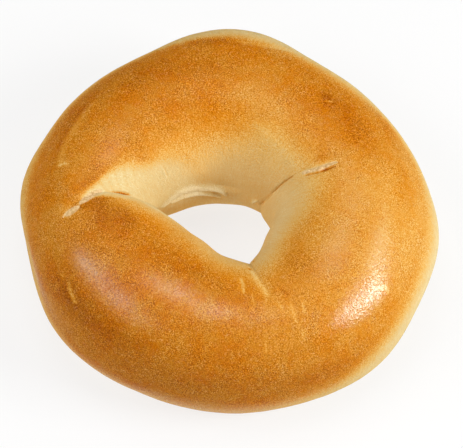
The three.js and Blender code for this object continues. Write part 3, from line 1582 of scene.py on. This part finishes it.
@dataclass
class Crust:
    """The bagel's crust: one closed skin.

    Attributes:
        dough: The ring that it covers.
        bake_and_painted_light: How it is coloured, with its painted shade, painted light and
            painted sheen.
        strokes: Small marks in it.
        sheens: Places where it is shiny.
        plain_film: How shiny the rest of the brown crown is, from 0 to 1.
        low_film: How shiny the brown skin is low on the outer side.
        finish: Its finish.
        lines: Lengthwise lines of its net between one crease and the next.
        crowding: How closely the lines crowd beside a crease, from 0 to 1.
        bend_reach: How far round the ring a crease bends the lines, in degrees.
        crease_middle: Angle over where a line isn't bent.
        lip_over: Angle over of the ledge's lips, where the rows crowd.
        lip_crowding: How much closer the rows lie there.
        lip_reach: Degrees from the lips over which they spread again.
        crust_rows: Rows over the crust.
        base_rows: Rows under the flat base.
        base_edge: Angle over where the flat base ends.
        blister_height: Height of the broad unevenness in metres.
        dimple_height: Height of the small unevenness in metres.
        tear_depth: Roughness of the torn crumb in metres.
        blisters: The broad unevenness.
        dimples: The small unevenness.
        tears: The unevenness of the torn crumb.
        loose: Heights in metres between which the skin comes free of the flat base.
        stretch_radius: Radius of the ring in the streaks' coordinates, in millimetres.
        stretch_girth: Radius of the rope in them, in millimetres.
        stretch_share: How far they squeeze the way round the rope, which draws streaks out over it.
        film_tones: Tones between which the skin set to a film.
        film_inner: Angles over between which the film ends towards the hole.
        film_outer: Angles over between which the lower film becomes the crown's.
        seed: Picks the pattern of the unevenness.
    """

    dough: DoughRing = field(default_factory=DoughRing)
    bake_and_painted_light: BakeAndPaintedLight = field(default_factory=BakeAndPaintedLight)
    strokes: tuple[Stroke, ...] = STROKES
    sheens: tuple[Patch, ...] = SHEENS
    plain_film: float = 0.06
    low_film: float = 0.45
    finish: CrustFinish = field(default_factory=CrustFinish)
    lines: tuple[int, int, int] = (204, 152, 144)
    crowding: float = 0.55
    bend_reach: float = 47.0
    crease_middle: float = 120.0
    lip_over: float = 180.0
    lip_crowding: float = 1.6
    lip_reach: float = 9.0
    crust_rows: int = 188
    base_rows: int = 6
    base_edge: float = -65.0
    blister_height: float = 0.00045
    dimple_height: float = 0.00012
    tear_depth: float = 0.00035
    blisters: Noise = Noise(0.013, 2.0, 0.5)
    dimples: Noise = Noise(0.0032, 2.0, 0.6, 0.3)
    tears: Noise = Noise(0.0009, 2.0, 0.6)
    loose: Rise = Rise(0.0, 0.004)
    stretch_radius: float = 34.0
    stretch_girth: float = 22.0
    stretch_share: float = 0.12
    film_tones: Rise = Rise(0.3, 0.6)
    film_inner: Rise = Rise(100.0, 130.0)
    film_outer: Rise = Rise(-22.0, 8.0)
    seed: float = 3.0

    def net(self) -> tuple[np.ndarray, np.ndarray]:
        """Lays out the net of lines and rows.

        Returns:
            The angles around and over of its knots, a row of each array to a line.
        """
        around = self._line_angles()[:, None]
        over = self._row_angles()[None, :]
        bent = np.repeat(around, over.shape[1], axis=1)
        for crease in self.dough.creases:
            middle = crease.route.at(np.array(self.crease_middle))
            nearness = 1.0 - np.abs(signed_angle(around - middle)) / self.bend_reach
            bent = bent + (crease.route.at(over) - middle) * smoothstep(nearness, 0.0, 1.0)
        return bent, np.repeat(over, around.shape[0], axis=0)

    def _line_angles(self) -> np.ndarray:
        """Returns the angles around of the lengthwise lines, before they bend."""
        order = (RIGHT_CREASE, LEFT_CREASE, FRONT_CREASE, RIGHT_CREASE)
        middles = [float(crease.route.at(np.array(self.crease_middle))) for crease in order]
        spans = []
        for start, end, lines in zip(middles[:-1], middles[1:], self.lines):
            share = np.arange(lines) / lines
            crowded = share - self.crowding * np.sin(2.0 * np.pi * share) / (2.0 * np.pi)
            spans.append(start + ((end - start) % 360.0) * crowded)
        return np.concatenate(spans)

    def _row_angles(self) -> np.ndarray:
        """Returns the angles over of the rows, closer together at the ledge's lips."""
        fine = np.linspace(self.base_edge, 180.0 - self.base_edge, ROW_SAMPLES)
        off_lip = (fine - self.lip_over) / self.lip_reach
        density = 1.0 + self.lip_crowding * np.exp(-(off_lip**2))
        total = np.cumsum(density)
        share = np.linspace(total[0], total[-1], self.crust_rows + 1)
        crust = np.interp(share, total, fine)
        base = np.linspace(180.0 - self.base_edge, 360.0 + self.base_edge, self.base_rows + 1)
        return np.concatenate([crust, base[1:-1]])

    def middle(self) -> np.ndarray:
        """Finds the middle of the ring's box, which the CAD puts over the origin.

        Returns:
            Its x and y in millimetres, and 0.
        """
        node = np.array([corner[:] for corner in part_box("bagel")])
        turn = np.arange(0.0, 360.0, BOX_STEP)
        rope = np.arange(self.base_edge, 180.0 - self.base_edge + 1.0, 1.0)
        around, over = np.meshgrid(turn, rope, indexing="ij")
        points = self.dough.points(around, over).reshape(-1, 3)
        centre = (points.min(axis=0) + points.max(axis=0)) / 2.0
        shift = centre - node.mean(axis=0) / MILLIMETRE
        return np.array([shift[0], shift[1], 0.0])

    def build(self) -> bpy.types.Object:
        """Builds and dresses the crust.

        Returns:
            The piece, with a plain mesh.
        """
        around, over = self.net()
        smooth = self.dough.points(around, over).reshape(-1, 3)
        relief = np.zeros(len(smooth))
        tone = self.bake_and_painted_light.tone(around, over).reshape(-1)
        tear = np.zeros(len(smooth))
        for stroke in self.strokes:
            strength = stroke.profile(smooth, self.dough)
            relief += stroke.rise * strength
            tone += stroke.tone * strength
            tear = np.maximum(tear, stroke.tear * strength)
        points = self.dough.points(around, over, relief.reshape(around.shape)).reshape(-1, 3)
        points = (points - self.middle()) * MILLIMETRE
        mesh = self._mesh(points, around.shape)
        # the tone written here is the bake with painted shade, painted highlights and painted sheen
        # added by strokes and patches
        self._write(mesh, "bake_and_painted_light", np.clip(tone, 0.0, 1.0))
        self._write(mesh, "tear", tear)
        self._write(mesh, "shine", self._shine(around, over, tone))
        self._write(mesh, "loose", self.loose.at(points[:, 2]))
        self._write_stretch(mesh, around, over)
        rough = add_object("crust_rough", mesh)
        self._relief().put_on(rough)
        piece = plain_copy(rough, "bagel_crust")
        piece.data.shade_smooth()
        return piece

    def _mesh(self, points: np.ndarray, shape: tuple[int, int]) -> bpy.types.Mesh:
        """Joins the net's knots with faces that point outwards.

        Args:
            points: The knots in metres, one to a row.
            shape: Numbers of lines and rows.

        Returns:
            The closed mesh.
        """
        index = np.arange(shape[0] * shape[1]).reshape(shape)
        ahead = np.roll(index, -1, axis=0)
        above, above_ahead = (np.roll(knots, -1, axis=1) for knots in (index, ahead))
        faces = np.stack([index, ahead, above_ahead, above], axis=-1)
        mesh = bpy.data.meshes.new("crust_rough")
        mesh.from_pydata(points.tolist(), [], faces.reshape(-1, 4).tolist())
        mesh.shade_smooth()
        return mesh

    def _write(self, mesh: bpy.types.Mesh, name: str, values: np.ndarray) -> None:
        """Writes one number for each vertex as an attribute.

        Args:
            mesh: The mesh.
            name: Name of the attribute.
            values: The numbers, in the order of the vertices.
        """
        attribute = mesh.attributes.new(name, "FLOAT", "POINT")
        numbers = np.ascontiguousarray(values, dtype=np.float32).reshape(-1)
        attribute.data.foreach_set("value", numbers)

    def _write_stretch(self, mesh: bpy.types.Mesh, around: np.ndarray, over: np.ndarray) -> None:
        """Writes coordinates in which the skin's streaks are drawn out over the rope.

        Args:
            mesh: The mesh.
            around: Angles around of its vertices.
            over: Angles over of its vertices.
        """
        radius = self.stretch_radius * MILLIMETRE
        girth = self.stretch_girth * MILLIMETRE
        length = np.radians(rope_angle(over)) * girth * self.stretch_share
        stretch = ring_point(around, radius, length).astype(np.float32)
        attribute = mesh.attributes.new("stretch", "FLOAT_VECTOR", "POINT")
        attribute.data.foreach_set("vector", stretch.reshape(-1))

    def _shine(self, around: np.ndarray, over: np.ndarray, tone: np.ndarray) -> np.ndarray:
        """Works out where the skin set to a shiny film.

        Args:
            around: Angles around in degrees.
            over: Angles over in degrees.
            tone: Tone of each place, in one row.

        Returns:
            Shares from 0, dull, to 1, shiny, in one row.
        """
        turn = rope_angle(over).reshape(-1)
        baked = self.film_tones.at(tone) * (1.0 - self.film_inner.at(turn))
        film = baked * blend(self.low_film, self.plain_film, self.film_outer.at(turn))
        for sheen in self.sheens:
            film = film + sheen.at(around, over).reshape(-1)
        return np.clip(film, 0.0, 1.0)

    def _relief(self) -> NodeModifier:
        """Builds the tree that makes the skin uneven and the torn crumb rough.

        Returns:
            The modifier.
        """
        relief = NodeModifier("crust_relief")
        relief.add_input("Material", "Material", self.finish.material())
        relief.add_input("Blister Height", "Float", self.blister_height)
        relief.add_input("Dimple Height", "Float", self.dimple_height)
        relief.add_input("Tear Depth", "Float", self.tear_depth)
        relief.add_input("Seed", "Float", self.seed)
        graph = relief.graph
        place = graph.node("GeometryNodeInputPosition").outputs[0]
        seed = relief.given("Seed")
        broad = graph.noise(place, self.blisters, seed) * relief.amount("Blister Height")
        small = graph.noise(place, self.dimples, seed) * relief.amount("Dimple Height")
        rough = graph.noise(place, self.tears, seed) * relief.amount("Tear Depth")
        height = (broad + small + rough * relief.mesh_number("tear")) * relief.mesh_number("loose")
        normal = graph.node("GeometryNodeInputNormal").outputs[0]
        shift = {0: normal, "Scale": height}
        offset = graph.node("ShaderNodeVectorMath", {"operation": "SCALE"}, shift)
        sockets = {"Geometry": relief.given("Geometry"), "Offset": offset.outputs[0]}
        moved = graph.node("GeometryNodeSetPosition", None, sockets)
        relief.close(moved.outputs[0])
        return relief


@dataclass
class Crumbs:
    """Loose crumbs of the torn dough, half sunk in the crust's tears.

    Attributes:
        finish: Their finish.
        size: Radius of a crumb in metres.
        density: Crumbs to the square metre where the tear is widest open.
        open_tear: Levels of the tear between which crumbs begin to lie in it.
        stretch: Least and greatest stretch of a crumb each way.
        seed: Picks their places.
    """

    finish: CrumbFinish = field(default_factory=CrumbFinish)
    size: float = 0.00026
    density: float = 2.0e6
    open_tear: Rise = Rise(0.4, 0.9)
    stretch: tuple[float, float] = (0.5, 1.3)
    seed: int = 7

    def build(self, crust: bpy.types.Object) -> bpy.types.Object:
        """Scatters the crumbs.

        Args:
            crust: The crust that carries them.

        Returns:
            The piece, with a plain mesh.
        """
        carrier = add_object("crumbs_carrier", crust.data.copy())
        self._scatter().put_on(carrier)
        return plain_copy(carrier, "torn_crumbs")

    def _scatter(self) -> NodeModifier:
        """Builds the tree that scatters the crumbs.

        Returns:
            The modifier.
        """
        scatter = NodeModifier("crumb_scatter")
        scatter.add_input("Material", "Material", self.finish.material())
        scatter.add_input("Crumb Size", "Float", self.size)
        scatter.add_input("Density", "Float", self.density)
        scatter.add_input("Seed", "Int", self.seed)
        graph = scatter.graph
        seed = scatter.given("Seed")
        bare = graph.smooth(scatter.mesh_number("tear"), self.open_tear)
        points = graph.node(
            "GeometryNodeDistributePointsOnFaces",
            {"distribute_method": "RANDOM"},
            {
                "Mesh": scatter.given("Geometry"),
                "Density": bare * scatter.amount("Density"),
                "Seed": seed,
            },
        )
        ball = {"Radius": scatter.given("Crumb Size"), "Subdivisions": 1}
        crumb = graph.node("GeometryNodeMeshIcoSphere", None, ball)
        placed = graph.node(
            "GeometryNodeInstanceOnPoints",
            None,
            {
                "Points": points.outputs["Points"],
                "Instance": crumb.outputs["Mesh"],
                "Rotation": graph.random_vector(0.0, math.tau, seed),
                "Scale": graph.random_vector(*self.stretch, seed),
            },
        )
        scatter.close(placed.outputs[0])
        return scatter


# Studio


@dataclass(frozen=True)
class SoftLight:
    """A soft rectangular light that looks at the bagel.

    Attributes:
        name: Its name.
        direction: The way to it from the bagel.
        distance: How far away it is, in metres.
        width: Its width in metres.
        height: Its height in metres.
        power: Its power in watts.
    """

    name: str
    direction: tuple[float, float, float]
    distance: float
    width: float
    height: float
    power: float

    def build(self, target: Vector) -> bpy.types.Object:
        """Hangs the light.

        Args:
            target: The place that it looks at.

        Returns:
            The light.
        """
        data = bpy.data.lights.new(self.name, "AREA")
        data.shape = "RECTANGLE"
        data.size = self.width
        data.size_y = self.height
        data.energy = self.power
        light = add_object(self.name, data)
        way = Vector(self.direction).normalized()
        light.location = target + way * self.distance
        light.rotation_euler = way.to_track_quat("Z", "Y").to_euler()
        return light


@dataclass(frozen=True)
class Viewpoint:
    """The camera, where the photograph was taken from.

    Attributes:
        target: A place low in the ring's middle, in metres.
        elevation: Degrees that the camera looks down.
        distance: Its distance from the target in metres.
        pixel: Size of a pixel at the target in metres.
        image: Width and height of the picture in pixels.
        aim: The pixel at which the target lies.
        sensor: Width of the sensor in millimetres.
    """

    target: tuple[float, float, float] = (0.000803, -0.00396, 0.018)
    elevation: float = 60.73
    distance: float = 0.7
    pixel: float = 0.000264
    image: tuple[int, int] = (463, 448)
    aim: tuple[float, float] = (232.01, 227.33)
    sensor: float = 36.0

    def build(self) -> bpy.types.Object:
        """Sets up the camera.

        Returns:
            The scene's camera.
        """
        tilt = math.radians(self.elevation)
        back = Vector((0.0, -math.cos(tilt), math.sin(tilt)))
        width, height = self.image
        data = bpy.data.cameras.new("viewpoint")
        data.sensor_width = self.sensor
        data.lens = self.sensor * self.distance / (self.pixel * width)
        data.shift_x = (width / 2.0 - self.aim[0]) / width
        data.shift_y = (self.aim[1] - height / 2.0) / width
        camera = add_object("viewpoint", data)
        camera.location = Vector(self.target) + back * self.distance
        camera.rotation_euler = back.to_track_quat("Z", "Y").to_euler()
        bpy.context.scene.camera = camera
        return camera


@dataclass
class Studio:
    """The plain floor, the soft light and the camera.

    Attributes:
        floor_finish: The floor's finish.
        floor_size: Side of the floor in metres.
        sky: Strength of the even light from all round.
        lights: The soft lights.
        viewpoint: The camera.
    """

    floor_finish: FloorFinish = field(default_factory=FloorFinish)
    floor_size: float = 6.0
    sky: float = 0.05
    lights: tuple[SoftLight, ...] = (
        SoftLight("right_light", (0.8, -0.2, 0.54), 1.0, 0.42, 0.42, 7.7),
        SoftLight("left_light", (-0.66, -0.16, 0.74), 1.0, 0.8, 0.5, 4.7),
        SoftLight("back_light", (0.54, 0.3, 0.78), 1.0, 0.5, 0.26, 0.9),
        SoftLight("top_light", (-0.04, 0.2, 0.98), 1.1, 0.5, 0.66, 3.5),
        SoftLight("front_light", (0.1, -0.85, 0.5), 1.0, 0.6, 0.4, 1.2),
    )
    viewpoint: Viewpoint = field(default_factory=Viewpoint)

    def build(self) -> None:
        """Builds the floor, the lights, the sky and the camera."""
        self._floor()
        target = Vector(self.viewpoint.target)
        for light in self.lights:
            light.build(target)
            log.info("light %s: %.1f W", light.name, light.power)
        self._sky()
        self.viewpoint.build()
        bpy.context.scene.view_settings.view_transform = "Standard"

    def _floor(self) -> bpy.types.Object:
        """Lays the floor.

        Returns:
            The floor.
        """
        half = self.floor_size / 2.0
        mesh = bpy.data.meshes.new("floor")
        corners = [(-half, -half, 0.0), (half, -half, 0.0), (half, half, 0.0), (-half, half, 0.0)]
        mesh.from_pydata(corners, [], [(0, 1, 2, 3)])
        mesh.materials.append(self.floor_finish.material())
        floor = add_object("floor", mesh)
        return floor

    def _sky(self) -> None:
        """Lights the scene evenly from all round."""
        world = bpy.data.worlds.new("studio")
        world.use_nodes = True
        graph = Graph(world.node_tree)
        white = colour(1.0, 1.0, 1.0)
        background = graph.node("ShaderNodeBackground", None, {0: white, 1: self.sky})
        graph.node("ShaderNodeOutputWorld", None, {0: background.outputs[0]})
        bpy.context.scene.world = world


def report(piece: bpy.types.Object) -> None:
    """Logs a piece's name and its numbers of vertices and faces."""
    mesh = piece.data
    log.info("%s: %d vertices, %d faces", piece.name, len(mesh.vertices), len(mesh.polygons))


def main() -> None:
    """Builds the bagel and its studio."""
    logging.basicConfig(level=logging.INFO, format="%(name)s: %(message)s")
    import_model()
    crust = Crust().build()
    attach(crust, "root")
    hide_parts("bagel")
    report(crust)
    crumbs = Crumbs().build(crust)
    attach(crumbs, "root")
    report(crumbs)
    Studio().build()


if __name__ == "__main__":
    main()
